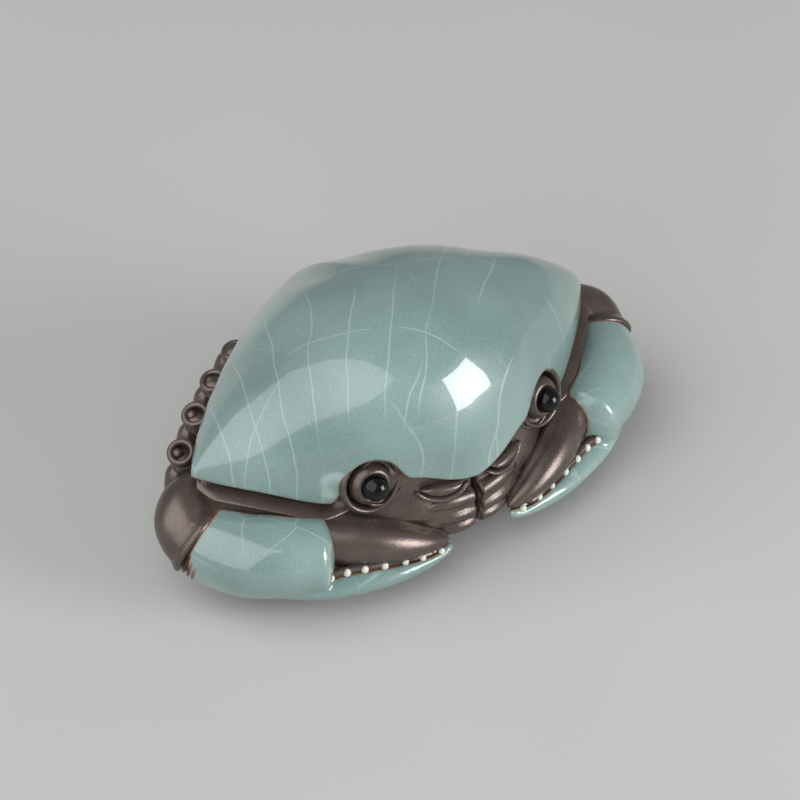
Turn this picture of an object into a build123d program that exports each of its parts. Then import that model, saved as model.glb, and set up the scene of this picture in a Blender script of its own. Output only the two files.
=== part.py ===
from build123d import *
import os
from math import cos, pi, radians, sin

# Crab figurine in fired clay, in millimetres.
# X is across the crab, it faces -Y, +Z is up, and the table is at z = 0.
# Left is the crab's own left, on the +X side. Paired pieces are made there and mirrored.

# Back shell
SHELL_HALF_WIDTH = 27.6
SHELL_FRONT_Y = -17.6
SHELL_REAR_Y = 17.2
SHELL_CORNER_Y = -1.5
SHELL_CORNER_Z = 16.0
SHELL_FRONT_Z = 12.6
SHELL_CROWN_Y = -3.0
SHELL_CROWN_Z = 30.0
SHELL_WALL = 2.6

# Lower body
BODY_INSET = 0.7
BODY_CORNER_INSET = 2.2
BODY_CHIN_Z = 6.0
WAIST_SHARE = 0.4
FOOT_HALF_WIDTH = 17.0
FOOT_FRONT_Y = -8.5
FOOT_REAR_Y = 11.0
CAVITY_HALF_WIDTH = 14.0
CAVITY_FRONT_Y = -8.0
CAVITY_REAR_Y = 9.0
CHANNEL_RADIUS = 1.0
CHANNEL_DROP = 1.3
SLIT_WIDTH = 0.7
SLIT_DEPTH = 1.8

# Base plate with its firing vent
PLATE_HALF_WIDTH = 11.0
PLATE_HALF_DEPTH = 6.0
PLATE_Y = 1.0
PLATE_THICKNESS = 2.6
VENT_RADIUS = 2.0

# Tail flap
FLAP_TOP_WIDTH = 11.0
FLAP_TIP_WIDTH = 5.0
FLAP_TOP_Z = 13.0
FLAP_TIP_Z = 2.5
FLAP_THICKNESS = 0.9
FLAP_SEGMENTS = 5
FLAP_GROOVE = 0.4

# Eyes
EYE_X = SHELL_HALF_WIDTH * 0.424
EYE_BEHIND_EDGE = 1.5
EYE_ABOVE_EDGE = 0.6
EYE_OUTWARD = 17.0
EYE_UPWARD = 14.0
EYE_RADIUS = 2.7
SOCKET_RADIUS = 3.6
SOCKET_LIP = 0.4
SOCKET_FLOOR = 0.5
SOCKET_FRONT = 1.0
PUPIL_RADIUS = 1.5
PUPIL_SET = 2.2
NOTCH_FLARE = 1.2

# Face plates
ANTENNA_X = 4.4
ANTENNA_BEHIND_EDGE = 0.3
ANTENNA_DROP = 1.5
ANTENNA_LENGTH = 5.2
ANTENNA_HEIGHT = 1.7
ANTENNA_DEPTH = 2.4
MOUTH_X = 3.6
MOUTH_BEHIND_EDGE = 0.6
MOUTH_UPPER_DROP = 3.5
MOUTH_LOWER_DROP = 5.6
MOUTH_LENGTH = 5.8
MOUTH_FOLD = 2.4
MOUTH_DEPTH = 3.2

# Claws
ELBOW_RADIUS = 3.6
ELBOW_OUT = 1.3
ELBOW_DROP = 5.2
WRIST_RADIUS = 3.1
WRIST_RING = 0.35
WRIST_LENGTH = 2.2
PALM_RADIUS = 4.6
PALM_Z = 7.7
FIXED_FINGER_RADIUS = 2.3
FIXED_FINGER_Z = 4.3
FINGER_RADIUS = 2.3
FINGER_Z = 8.5
FINGER_ROOT_SHARE = 0.6268
FINGER_TIP_SHARE = 0.1522
FINGER_TIP_Z = 5.4
TOOTH_RADIUS = 0.5
TOOTH_COUNT = 8
TOOTH_OUT = 2.0
TOOTH_RISE = 2.2

# Walking legs
LEG_COUNT = 4
THIGH_RADIUS = 1.5
THIGH_LENGTH = 5.5
THIGH_ROOT_DROP = 2.5
KNEE_RADIUS = 1.9
KNEE_Z = 12.8
KNEE_OUT = 1.3
FIRST_KNEE_X = SHELL_HALF_WIDTH * 0.8478
LAST_KNEE_X = SHELL_HALF_WIDTH * 0.3116
FIRST_LEG_ANGLE = 32.0
LAST_LEG_ANGLE = 74.0
SHIN_RADIUS = 1.5
SHIN_TIP_RADIUS = 0.7
SHIN_OUT = 0.9
SHIN_SPLAY = 2.37

# Numbers of points on an oval and on a body outline
OVAL_POINTS = 8
OUTLINE_POINTS = 20

# Plan of the shell's margin: spread and crest of its front and rear halves
FRONT_FORM = (1.6, 1.25)
REAR_FORM = (1.35, 1.15)
ROUND_FORM = (2.0, 2.0)
WAIST_FORM = (1.8, 1.6)
CROWN_FORM = (1.65, 1.35)

# Fullness of the shell's front and rear profiles, where 1 is an ellipse
BROW_CURVE = 0.83
REAR_CURVE = 1.25

UP = Vector(0, 0, 1)


def margin(t, spread, crest):
    """Share of the full depth left at a share t of the half width."""
    return max(0.0, 1 - abs(t) ** spread) ** (1 / crest)


def smooth_line(points, closed=False):
    """Curve through points with evenly spaced knots, which keeps a loft of such curves light."""
    spans = len(points) if closed else len(points) - 1
    knots = [k / spans for k in range(spans + 1)]
    return Edge.make_spline(points, periodic=closed, parameters=knots)


def turned(start, way, profile):
    """Round bar along a direction, from pairs of distance along it and radius."""
    points = [(0, profile[0][0]), *((radius, along) for along, radius in profile), (0, profile[-1][0])]
    bar = revolve(Plane.XZ * make_face(Polyline(*points, close=True)), Axis.Z)
    return Plane(origin=start, z_dir=way) * bar


def front_edge(x, half_width=SHELL_HALF_WIDTH, front_y=SHELL_FRONT_Y):
    """Y and Z of the shell's front edge at x."""
    t = min(1.0, abs(x) / half_width)
    y = SHELL_CORNER_Y + (front_y - SHELL_CORNER_Y) * margin(t, *FRONT_FORM)
    z = SHELL_FRONT_Z + (SHELL_CORNER_Z - SHELL_FRONT_Z) * t**1.3
    return y, z


def rear_edge(x, half_width=SHELL_HALF_WIDTH, rear_y=SHELL_REAR_Y):
    """Y of the shell's rear edge at x."""
    t = min(1.0, abs(x) / half_width)
    return SHELL_CORNER_Y + (rear_y - SHELL_CORNER_Y) * margin(t, *REAR_FORM)


def shell_slice(x, half_width, inset, drop):
    """Cross-section of the shell at x: a steep brow, a crown and a long rear slope."""
    t = abs(x) / half_width
    front_y, front_z = front_edge(x, half_width, SHELL_FRONT_Y + inset)
    front_z -= drop
    rear_y = rear_edge(x, half_width, SHELL_REAR_Y - inset)
    rear_z = SHELL_CORNER_Z - drop
    crown_y = SHELL_CORNER_Y + (SHELL_CROWN_Y - SHELL_CORNER_Y) * (1 - t * t)
    crown_z = SHELL_CORNER_Z + (SHELL_CROWN_Z - inset - SHELL_CORNER_Z) * margin(t, *CROWN_FORM)
    points = []
    for step in range(4, 0, -1):
        q = pi / 8 * step
        y = crown_y + (front_y - crown_y) * sin(q) ** BROW_CURVE
        points.append((x, y, front_z + (crown_z - front_z) * cos(q) ** BROW_CURVE))
    for step in range(5):
        q = pi / 8 * step
        y = crown_y + (rear_y - crown_y) * sin(q) ** REAR_CURVE
        points.append((x, y, rear_z + (crown_z - rear_z) * cos(q) ** REAR_CURVE))
    return Face(Wire([smooth_line(points), Line(points[-1], points[0])]))


def shell_solid(inset=0.0, drop=0.0):
    """The dome as one solid or, when inset, the hollow inside it."""
    half_width = SHELL_HALF_WIDTH - 1.6 * inset
    shares = (0.0, 0.23, 0.46, 0.66, 0.82, 0.93, 0.99)
    stations = [-s for s in reversed(shares[1:])] + list(shares)
    return loft([shell_slice(half_width * s, half_width, inset, drop) for s in stations])


def outline(z, half_width, front_y, rear_y, front_form, rear_form):
    """Closed horizontal outline at height z."""
    points = []
    for k in range(OUTLINE_POINTS):
        q = 2 * pi * k / OUTLINE_POINTS
        reach, form = (rear_y, rear_form) if sin(q) > 0 else (front_y, front_form)
        y = SHELL_CORNER_Y + (reach - SHELL_CORNER_Y) * margin(cos(q), *form)
        points.append((half_width * cos(q), y, z))
    return Face(Wire([smooth_line(points, True)]))


def body_solid(grow=0.0):
    """The lower body, from its flat foot up to the shell's edge."""
    width = SHELL_HALF_WIDTH - BODY_CORNER_INSET + grow
    front = SHELL_FRONT_Y + BODY_INSET - grow
    rear = SHELL_REAR_Y - BODY_INSET + grow
    foot = (FOOT_HALF_WIDTH + grow, FOOT_FRONT_Y - grow, FOOT_REAR_Y + grow)
    waist = [a + (b - a) * WAIST_SHARE for a, b in zip(foot, (width, front, rear))]
    return loft([
        outline(0, *foot, ROUND_FORM, ROUND_FORM),
        outline(BODY_CHIN_Z / 2, *waist, WAIST_FORM, WAIST_FORM),
        outline(BODY_CHIN_Z, width - 1.6, front + 0.5, rear - 1.2, FRONT_FORM, REAR_FORM),
        outline((BODY_CHIN_Z + SHELL_CORNER_Z) / 2, width - 0.4, front, rear, FRONT_FORM, REAR_FORM),
        outline(SHELL_CORNER_Z + SHELL_WALL / 2, width, front + 0.6, rear, FRONT_FORM, REAR_FORM),
    ])


def oval(centre, along, upward_hint, half_width, half_height):
    """Closed oval across the direction of a limb."""
    upward = (upward_hint - along * upward_hint.dot(along)).normalized()
    across = along.cross(upward)
    points = []
    for k in range(OVAL_POINTS):
        q = 2 * pi * k / OVAL_POINTS
        points.append(centre + across * (half_width * cos(q)) + upward * (half_height * sin(q)))
    return Face(Wire([smooth_line(points, True)]))


def limb(stations, upward_hint=UP):
    """Loft through evenly spaced ovals, each given as a centre, half width and half height."""
    centres = [Vector(*s[0]) for s in stations]
    last = len(stations) - 1
    ways = [(centres[min(i + 1, last)] - centres[max(i - 1, 0)]).normalized() for i in range(last + 1)]
    return loft([oval(c, w, upward_hint, s[1], s[2]) for c, w, s in zip(centres, ways, stations)])


def ellipsoid(centre, length, depth, height, turn=0.0):
    """Ball stretched along three axes, turned about Z."""
    ball = scale(Sphere(1), by=(length / 2, depth / 2, height / 2))
    return Pos(*centre) * Rot(0, 0, turn) * ball


def both(shape):
    """A shape and its mirror image on the other side."""
    return shape + mirror(shape, Plane.YZ)


def eye_frame():
    """Plane at the eyeball's centre, with its normal along the gaze."""
    edge_y, edge_z = front_edge(EYE_X)
    out, up = radians(EYE_OUTWARD), radians(EYE_UPWARD)
    gaze = Vector(sin(out) * cos(up), -cos(out) * cos(up), sin(up))
    centre = (EYE_X, edge_y + EYE_BEHIND_EDGE, edge_z + EYE_ABOVE_EDGE)
    return Plane(origin=centre, x_dir=(cos(out), sin(out), 0), z_dir=gaze)


def socket_depth():
    """Length of the socket cup, with a floor behind the eyeball."""
    return SOCKET_FRONT + EYE_RADIUS + SOCKET_FLOOR


def eye_notch():
    """Flared opening that the socket sits in."""
    frame = eye_frame()
    depth = socket_depth()
    start = frame.origin + frame.z_dir * (SOCKET_FRONT - depth)
    return turned(start, frame.z_dir, ((0, SOCKET_RADIUS), (depth / 2, SOCKET_RADIUS),
                                       (2 * depth, SOCKET_RADIUS + NOTCH_FLARE)))


def eye_pieces():
    """Socket cup, eyeball and pupil bead on one gaze axis."""
    frame = eye_frame()
    ball = frame * Sphere(EYE_RADIUS)
    bead = frame * Pos(0, 0, PUPIL_SET) * Sphere(PUPIL_RADIUS)
    depth = socket_depth()
    cup = Pos(0, 0, SOCKET_FRONT - depth / 2) * Cylinder(SOCKET_RADIUS, depth)
    cup = fillet(cup.edges().filter_by(GeomType.CIRCLE).sort_by(Axis.Z)[-1], SOCKET_LIP)
    return frame * cup - ball, ball - bead, bead


def claw_point(share, out, z):
    """Point at a share of the half width, in front of the shell's edge by a distance out."""
    x = SHELL_HALF_WIDTH * share
    return (x, front_edge(x)[0] - out, z)


def bar(start, end, start_radius, end_radius):
    """Tapered round bar between two points."""
    way = end - start
    return turned(start, way.normalized(), ((0, start_radius), (way.length, end_radius)))


def elbow_solid():
    """Knuckle that leaves the body under the shell's corner and turns down to the wrist."""
    r = ELBOW_RADIUS
    knuckle = Vector(SHELL_HALF_WIDTH + ELBOW_OUT, SHELL_CORNER_Y, SHELL_CORNER_Z - ELBOW_DROP)
    root = knuckle + Vector(-1.78, 0.33, 0.39) * r
    end = knuckle + Vector(0, -0.47, -0.67) * r
    return Pos(*knuckle) * Sphere(r) + bar(root, knuckle, r * 0.7, r * 0.9) + bar(knuckle, end, r * 0.9, r * 0.96)


def wrist_solid():
    """Short neck with two rings, between the elbow and the palm."""
    knuckle = Vector(SHELL_HALF_WIDTH + ELBOW_OUT, SHELL_CORNER_Y, SHELL_CORNER_Z - ELBOW_DROP)
    start = knuckle + Vector(0, -0.33, -0.56) * ELBOW_RADIUS
    way = Vector(-0.35, -0.85, -0.4).normalized()
    rings = (0, 1, 0, 1, 0)
    step = WRIST_LENGTH / (len(rings) - 1)
    return turned(start, way, [(step * k, WRIST_RADIUS + WRIST_RING * ring) for k, ring in enumerate(rings)])


def palm_solid():
    """Swollen palm that runs on into the fixed lower finger."""
    palm = limb([
        (claw_point(share, out, PALM_Z), PALM_RADIUS * wide, PALM_RADIUS * wide)
        for share, out, wide in ((1.0145, 1.4, 0.6), (0.9783, 3.2, 0.88), (0.8913, 3.7, 1), (0.7899, 3.1, 1.02),
                                 (0.6848, 2.4, 0.96), (0.587, 2.0, 0.62))
    ])
    r = FIXED_FINGER_RADIUS
    lower = limb([
        (claw_point(share, out, FIXED_FINGER_Z + lift), r * wide, r * tall)
        for share, out, lift, wide, tall in ((0.7391, 3.0, 0.6, 1.0, 1.0), (0.5942, 2.7, 0.1, 1.1, 0.95),
                                             (0.442, 2.1, -0.4, 0.9, 0.74), (0.2899, 1.7, -0.2, 0.56, 0.54),
                                             (0.1449, 1.0, 0.3, 0.2, 0.25))
    ])
    return palm + lower


def finger_solid():
    """Upper claw finger, from a blunt root in the palm to a point near the slit."""
    r = FINGER_RADIUS
    rise = FINGER_Z - FINGER_TIP_Z
    span = FINGER_ROOT_SHARE - FINGER_TIP_SHARE
    stations = []
    for share, out, wide, tall in ((0, 1.2, 0.95, 1), (0.25, 1.6, 0.95, 0.98), (0.5, 1.7, 0.86, 0.85),
                                   (0.75, 1.4, 0.62, 0.6), (1, 0.9, 0.2, 0.2)):
        z = FINGER_Z - rise * share**1.4
        stations.append((claw_point(FINGER_ROOT_SHARE - span * share, out, z), r * wide, r * tall))
    return limb(stations)


def teeth_solids():
    """Row of blunt teeth on the upper edge of the fixed finger."""
    teeth = []
    first, last = FINGER_ROOT_SHARE + 0.007, FINGER_TIP_SHARE + 0.051
    for k in range(TOOTH_COUNT):
        share = k / max(1, TOOTH_COUNT - 1)
        out = TOOTH_OUT * (1 + 2 * share * (1 - share))
        z = FIXED_FINGER_Z + TOOTH_RISE * (1 - 0.75 * share**0.5)
        place = Vector(*claw_point(first + (last - first) * share, out, z))
        r = TOOTH_RADIUS * (1.1 - 0.2 * share)
        way = Vector(0, -0.5, 1).normalized()
        teeth.append(turned(place - way * r, way, ((0, r * 0.8), (r * 0.9, r), (r * 1.5, r * 0.8), (r * 1.9, r * 0.3))))
    return teeth


def leg_share(number):
    """Place of a leg in its row, from 0 at the first to 1 at the last."""
    return number / max(1, LEG_COUNT - 1)


def knee(number):
    """Knee point and outward direction of one leg."""
    share = leg_share(number)
    x = FIRST_KNEE_X + (LAST_KNEE_X - FIRST_KNEE_X) * share
    angle = radians(FIRST_LEG_ANGLE + (LAST_LEG_ANGLE - FIRST_LEG_ANGLE) * share)
    outward = Vector(cos(angle), sin(angle), 0)
    return Vector(x, rear_edge(x), KNEE_Z) + outward * KNEE_OUT, outward


def thigh_solid(number):
    """Upper leg, from the body out to a round knee."""
    point, outward = knee(number)
    way = outward * THIGH_LENGTH + UP * THIGH_ROOT_DROP
    length = way.length
    r = KNEE_RADIUS
    return turned(point - way, way.normalized(), (
        (0, THIGH_RADIUS * 0.9), (length * 0.5, THIGH_RADIUS), (length - r * 0.7, r * 0.85),
        (length, r), (length + r * 0.5, r * 0.87), (length + r * 0.87, r * 0.5)))


def shin_solid(number):
    """Lower leg, from the knee down to a blunt tip on the table."""
    point, outward = knee(number)
    top = point + outward * SHIN_OUT
    way = outward * (SHIN_SPLAY * leg_share(number)) - UP * point.Z
    length = way.length
    shin = turned(top, way.normalized(), (
        (0, SHIN_RADIUS * 0.9), (length * 0.3, SHIN_RADIUS), (length * 0.75, SHIN_RADIUS * 0.75),
        (length + SHIN_RADIUS, SHIN_TIP_RADIUS)))
    return shin - Pos(top.X, top.Y, -point.Z) * Box(4 * point.Z, 4 * point.Z, 2 * point.Z)


def flap_solid():
    """Segmented tail flap, a tapering skin on the rear of the body."""
    height = FLAP_TOP_Z - FLAP_TIP_Z
    front = FOOT_REAR_Y / 2
    shield = Polygon(
        (-FLAP_TIP_WIDTH / 2, FLAP_TIP_Z), (FLAP_TIP_WIDTH / 2, FLAP_TIP_Z),
        (FLAP_TOP_WIDTH / 2, FLAP_TOP_Z), (-FLAP_TOP_WIDTH / 2, FLAP_TOP_Z), align=None)
    block = extrude(Plane.XZ.offset(-front) * shield, -2 * SHELL_REAR_Y)
    skin = (body_solid(FLAP_THICKNESS) - body_solid()) & block
    for k in range(1, FLAP_SEGMENTS):
        z = FLAP_TIP_Z + height * k / FLAP_SEGMENTS
        skin -= Pos(0, SHELL_REAR_Y + FLAP_THICKNESS * 0.5, z) * Box(2 * FLAP_TOP_WIDTH, 2 * FLAP_THICKNESS, FLAP_GROOVE)
    return skin


def save(name, shape):
    export_step(shape, f"parts/{name}.step")


def main():
    os.makedirs("parts", exist_ok=True)
    pieces = build()
    for name, shape in pieces.items():
        save(name, shape)


def build():
    """All pieces by name, each cut to seat against its neighbours."""
    dome = shell_solid()
    hollow = shell_solid(SHELL_WALL, SHELL_WALL / 4)
    socket, ball, bead = eye_pieces()
    bore = eye_notch()

    antenna_y, antenna_z = front_edge(ANTENNA_X)
    antenna = ellipsoid((ANTENNA_X, antenna_y + ANTENNA_BEHIND_EDGE, antenna_z - ANTENNA_DROP),
                        ANTENNA_LENGTH, ANTENNA_DEPTH, ANTENNA_HEIGHT, 12)
    mouth_y = front_edge(MOUTH_X)[0] + MOUTH_BEHIND_EDGE
    mouth = ellipsoid((MOUTH_X, mouth_y, SHELL_FRONT_Z - MOUTH_UPPER_DROP),
                      MOUTH_LENGTH, MOUTH_DEPTH, MOUTH_FOLD, 12)
    mouth += ellipsoid((MOUTH_X - 0.4, mouth_y - 0.2, SHELL_FRONT_Z - MOUTH_LOWER_DROP),
                       MOUTH_LENGTH * 0.85, MOUTH_DEPTH, MOUTH_FOLD, 12)

    core = body_solid() - dome
    finger = finger_solid() - core
    teeth = teeth_solids()
    wrist = wrist_solid() - core
    palm = palm_solid() - wrist - finger - core
    palm = Part() + palm.solids().sort_by(SortBy.VOLUME)[-1]
    elbow = elbow_solid() - core - dome - wrist - palm
    elbow = Part() + elbow.solids().sort_by(SortBy.VOLUME)[-1]
    for tooth in teeth:
        palm -= tooth
        finger -= tooth
    antenna = antenna - core - dome
    mouth = mouth - core - finger - palm - antenna
    thighs, shins = [], []
    for number in range(LEG_COUNT):
        shin = shin_solid(number) - core
        thighs.append(thigh_solid(number) - core - dome - shin - elbow)
        shins.append(shin)

    plate = Pos(0, PLATE_Y, PLATE_THICKNESS / 2) * extrude(
        Ellipse(PLATE_HALF_WIDTH, PLATE_HALF_DEPTH), PLATE_THICKNESS / 2, both=True)
    room = loft([
        outline(PLATE_THICKNESS, CAVITY_HALF_WIDTH, CAVITY_FRONT_Y, CAVITY_REAR_Y, ROUND_FORM, ROUND_FORM),
        outline(SHELL_CROWN_Z, CAVITY_HALF_WIDTH, CAVITY_FRONT_Y, CAVITY_REAR_Y, ROUND_FORM, ROUND_FORM),
    ])
    body = core - room - plate
    body -= both(bore)
    slit = Pos(0, SHELL_FRONT_Y - SLIT_DEPTH, SHELL_FRONT_Z / 2) * Box(SLIT_WIDTH, 4 * SLIT_DEPTH, SHELL_FRONT_Z)
    body -= slit
    channel = limb([
        (claw_point(share, 0, front_edge(SHELL_HALF_WIDTH * share)[1] - CHANNEL_DROP), CHANNEL_RADIUS, CHANNEL_RADIUS)
        for share in (0.9565, 0.8696, 0.7428, 0.6159, 0.5072)
    ])
    body -= both(channel)
    plate -= Pos(0, PLATE_Y, 0) * Cylinder(VENT_RADIUS, 4 * PLATE_THICKNESS)
    flap = flap_solid()

    pieces = {
        "carapace": dome - hollow - both(bore),
        "body": body,
        "belly_plate": plate,
        "abdomen_flap": flap,
    }
    paired = {
        "eye_socket": socket,
        "eyeball": ball,
        "pupil": bead,
        "antenna_plate": antenna,
        "mouth_plate": mouth,
        "claw_elbow": elbow,
        "claw_wrist": wrist,
        "claw_palm": palm,
        "claw_finger": finger,
        "claw_teeth": Compound(children=[Part() + t for t in teeth]),
    }
    for number in range(LEG_COUNT):
        paired[f"thigh_{number + 1}"] = thighs[number]
        paired[f"shin_{number + 1}"] = shins[number]
    for name, shape in paired.items():
        pieces[f"left_{name}"] = shape
        pieces[f"right_{name}"] = mirror(shape, Plane.YZ)
    return pieces


main()
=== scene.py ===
"""Crab figurine: a crackle-glazed shell and claws on a dark clay body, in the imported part's frame."""

import logging
import math
from dataclasses import dataclass
from enum import Enum
from typing import Optional, Sequence

import bpy
import numpy as np
from mathutils import Matrix, Vector
from mathutils.kdtree import KDTree


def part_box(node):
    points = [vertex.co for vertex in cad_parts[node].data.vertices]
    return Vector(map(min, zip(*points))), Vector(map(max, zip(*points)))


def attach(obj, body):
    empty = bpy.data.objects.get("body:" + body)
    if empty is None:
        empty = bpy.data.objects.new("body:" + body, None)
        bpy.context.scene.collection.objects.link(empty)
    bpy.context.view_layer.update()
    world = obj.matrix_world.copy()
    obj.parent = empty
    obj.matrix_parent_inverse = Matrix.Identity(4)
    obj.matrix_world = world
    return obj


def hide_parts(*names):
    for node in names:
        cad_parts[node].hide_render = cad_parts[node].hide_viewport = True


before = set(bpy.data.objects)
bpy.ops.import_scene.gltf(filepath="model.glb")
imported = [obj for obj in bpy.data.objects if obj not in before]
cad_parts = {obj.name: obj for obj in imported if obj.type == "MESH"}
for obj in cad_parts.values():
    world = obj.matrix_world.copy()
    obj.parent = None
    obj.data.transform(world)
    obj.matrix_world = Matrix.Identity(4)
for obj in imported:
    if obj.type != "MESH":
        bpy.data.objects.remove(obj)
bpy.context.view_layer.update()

LOG = logging.getLogger("crab")
MM = 0.001
UP = (0.0, 0.0, 1.0)
THIN_GLAZE = "thin_glaze"
Grid = np.ndarray
Stations = Sequence[Sequence[float]]


class Slot(Enum):
    """Material slots of the part's record."""

    CELADON = "celadon_glaze"
    CLAY = "stoneware"
    BLACK = "black_glaze"
    TOOTH = "tooth_glaze"


class Side(Enum):
    """The crab's own left and right."""

    LEFT = "left"
    RIGHT = "right"


# Curves and grids of points, in millimetres

def unit(rows: np.ndarray) -> np.ndarray:
    """Scales each row to length one."""
    return rows / np.maximum(np.linalg.norm(rows, axis=-1, keepdims=True), 1e-9)


def ease(value: np.ndarray, low: float, high: float) -> np.ndarray:
    """Goes smoothly from 0 at low to 1 at high."""
    t = np.clip((np.asarray(value, float) - low) / (high - low), 0, 1)
    return t * t * (3 - 2 * t)


def smooth_path(points: Stations, shares: np.ndarray) -> np.ndarray:
    """Reads a smooth curve through rows of numbers.

    Args:
        points: rows of numbers that the curve passes through.
        shares: places along the curve, from 0 to 1.

    Returns:
        One row for each share.
    """
    rows = np.asarray(points, float)
    padded = np.vstack([2 * rows[0] - rows[1], rows, 2 * rows[-1] - rows[-2]])
    place = np.clip(shares, 0, 1) * (len(rows) - 1)
    first = np.minimum(place.astype(int), len(rows) - 2)
    t = (place - first)[:, None]
    a, b, c, d = (padded[first + k] for k in range(4))
    return 0.5 * (2 * b + (c - a) * t + (2 * a - 5 * b + 4 * c - d) * t**2 + (3 * b - a - 3 * c + d) * t**3)


def end_cap(share: np.ndarray, length: float) -> np.ndarray:
    """Rounds one end of a limb over a share of its length."""
    gap = np.clip(1 - share / max(length, 1e-6), 0, 1)
    return np.sqrt(1 - gap**2)


def turns(segments: int) -> np.ndarray:
    """Angles of the segments of a ring."""
    return np.arange(segments) * 2 * np.pi / segments


def limb_grid(stations: Stations, segments: int = 48, rows: int = 56,
              ends: tuple[float, float] = (0.2, 0.2), up: Sequence[float] = UP,
              crest: tuple[float, float, float] = (0.0, 0.0, 1.0)) -> Grid:
    """Rings of a limb that follows a curve.

    Args:
        stations: rows of x, y, z, half width and half height.
        segments: points in a ring.
        rows: rings along the limb.
        ends: share of the length over which each end is rounded.
        up: direction that the half height is nearest to.
        crest: a ridge along the limb, as its angle, height share and angular width.

    Returns:
        Points as rings, segments and coordinates.
    """
    share = 0.5 - 0.5 * np.cos(np.linspace(0, np.pi, rows + 1))
    line = smooth_path(stations, share)
    centre = line[:, :3]
    way = unit(np.gradient(centre, axis=0))
    across = unit(np.cross(way, up))
    rise = np.cross(across, way)
    cap = end_cap(share, ends[0]) * end_cap(1 - share, ends[1])
    turn = turns(segments)[None, :, None]
    swell = 1 + crest[1] * np.exp(-((np.angle(np.exp(1j * (turn - crest[0]))) / crest[2]) ** 2))
    wide = (line[:, 3] * cap)[:, None, None] * swell
    tall = (line[:, 4] * cap)[:, None, None] * swell
    return centre[:, None] + across[:, None] * wide * np.cos(turn) + rise[:, None] * tall * np.sin(turn)


def turned_grid(origin: Sequence[float], axis: Sequence[float], profile: Stations,
                segments: int = 64, rows: int = 64) -> Grid:
    """Rings of a form turned about an axis.

    Args:
        origin: point on the axis.
        axis: direction of the axis.
        profile: pairs of distance along the axis and radius.
        segments: points in a ring.
        rows: rings along the profile.

    Returns:
        Points as rings, segments and coordinates.
    """
    line = smooth_path(profile, np.linspace(0, 1, rows + 1))
    radius = np.maximum(line[:, 1], 0)
    radius[[0, -1]] = 0
    axis = unit(np.asarray(axis, float))
    across = unit(np.cross(axis, (0.31, 0.2, 0.93)))
    rise = np.cross(axis, across)
    turn = turns(segments)[None, :, None]
    ring = across * np.cos(turn) + rise * np.sin(turn)
    return np.asarray(origin, float) + axis * line[:, 0][:, None, None] + ring * radius[:, None, None]


def ball_profile(radius: float, count: int) -> list[tuple[float, float]]:
    """Pairs of distance along the axis and radius that turn into a ball."""
    return [(-radius * math.cos(a), radius * math.sin(a)) for a in np.linspace(0, np.pi, count)]


# Work on meshes

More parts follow.
